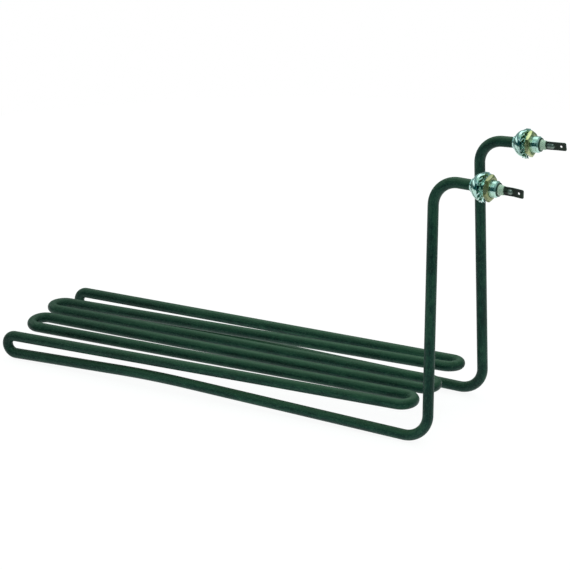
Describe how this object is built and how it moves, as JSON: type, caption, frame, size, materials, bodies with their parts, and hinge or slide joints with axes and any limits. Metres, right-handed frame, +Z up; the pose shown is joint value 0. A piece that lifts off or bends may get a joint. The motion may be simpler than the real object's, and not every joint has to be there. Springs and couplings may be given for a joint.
{
  "type": "tubular heating element",
  "caption": "Bent tubular heating element: a flat coil of folded legs with upright risers that end in threaded bushes with nuts, beads and spade tabs.",
  "frame": {"origin": "middle of the bounding box, on the surface that the lower legs rest on", "axes": "+X along the legs towards the terminals, +Y across to the rear leg, +Z up along the risers"},
  "size_m": [0.4351, 0.1068, 0.2183],
  "materials": {
    "oxidised_steel": "dark green-black oxidised steel tube, satin",
    "magnesia": "packed magnesium oxide powder",
    "resistance_wire": "wound nickel chromium wire",
    "pin_steel": "plain steel",
    "zinc_plate": "bright blue zinc plate",
    "yellow_zinc": "yellow passivated zinc plate",
    "seal": "dark silicone seal",
    "ceramic": "pale fired ceramic",
    "tab_steel": "dark oxidised steel strip"
  },
  "bodies": {
    "root": {"sheath": "oxidised_steel", "magnesia_filling": "magnesia", "resistance_coil": "resistance_wire", "front_cold_pin": "pin_steel", "front_threaded_bush": "zinc_plate", "front_lock_washer": "zinc_plate", "front_hex_nut": "yellow_zinc", "front_end_seal": "seal", "front_ceramic_bead": "ceramic", "front_spade_tab": "tab_steel", "rear_cold_pin": "pin_steel", "rear_threaded_bush": "zinc_plate", "rear_lock_washer": "zinc_plate", "rear_hex_nut": "yellow_zinc", "rear_end_seal": "seal", "rear_ceramic_bead": "ceramic", "rear_spade_tab": "tab_steel"}
  },
  "joints": []
}
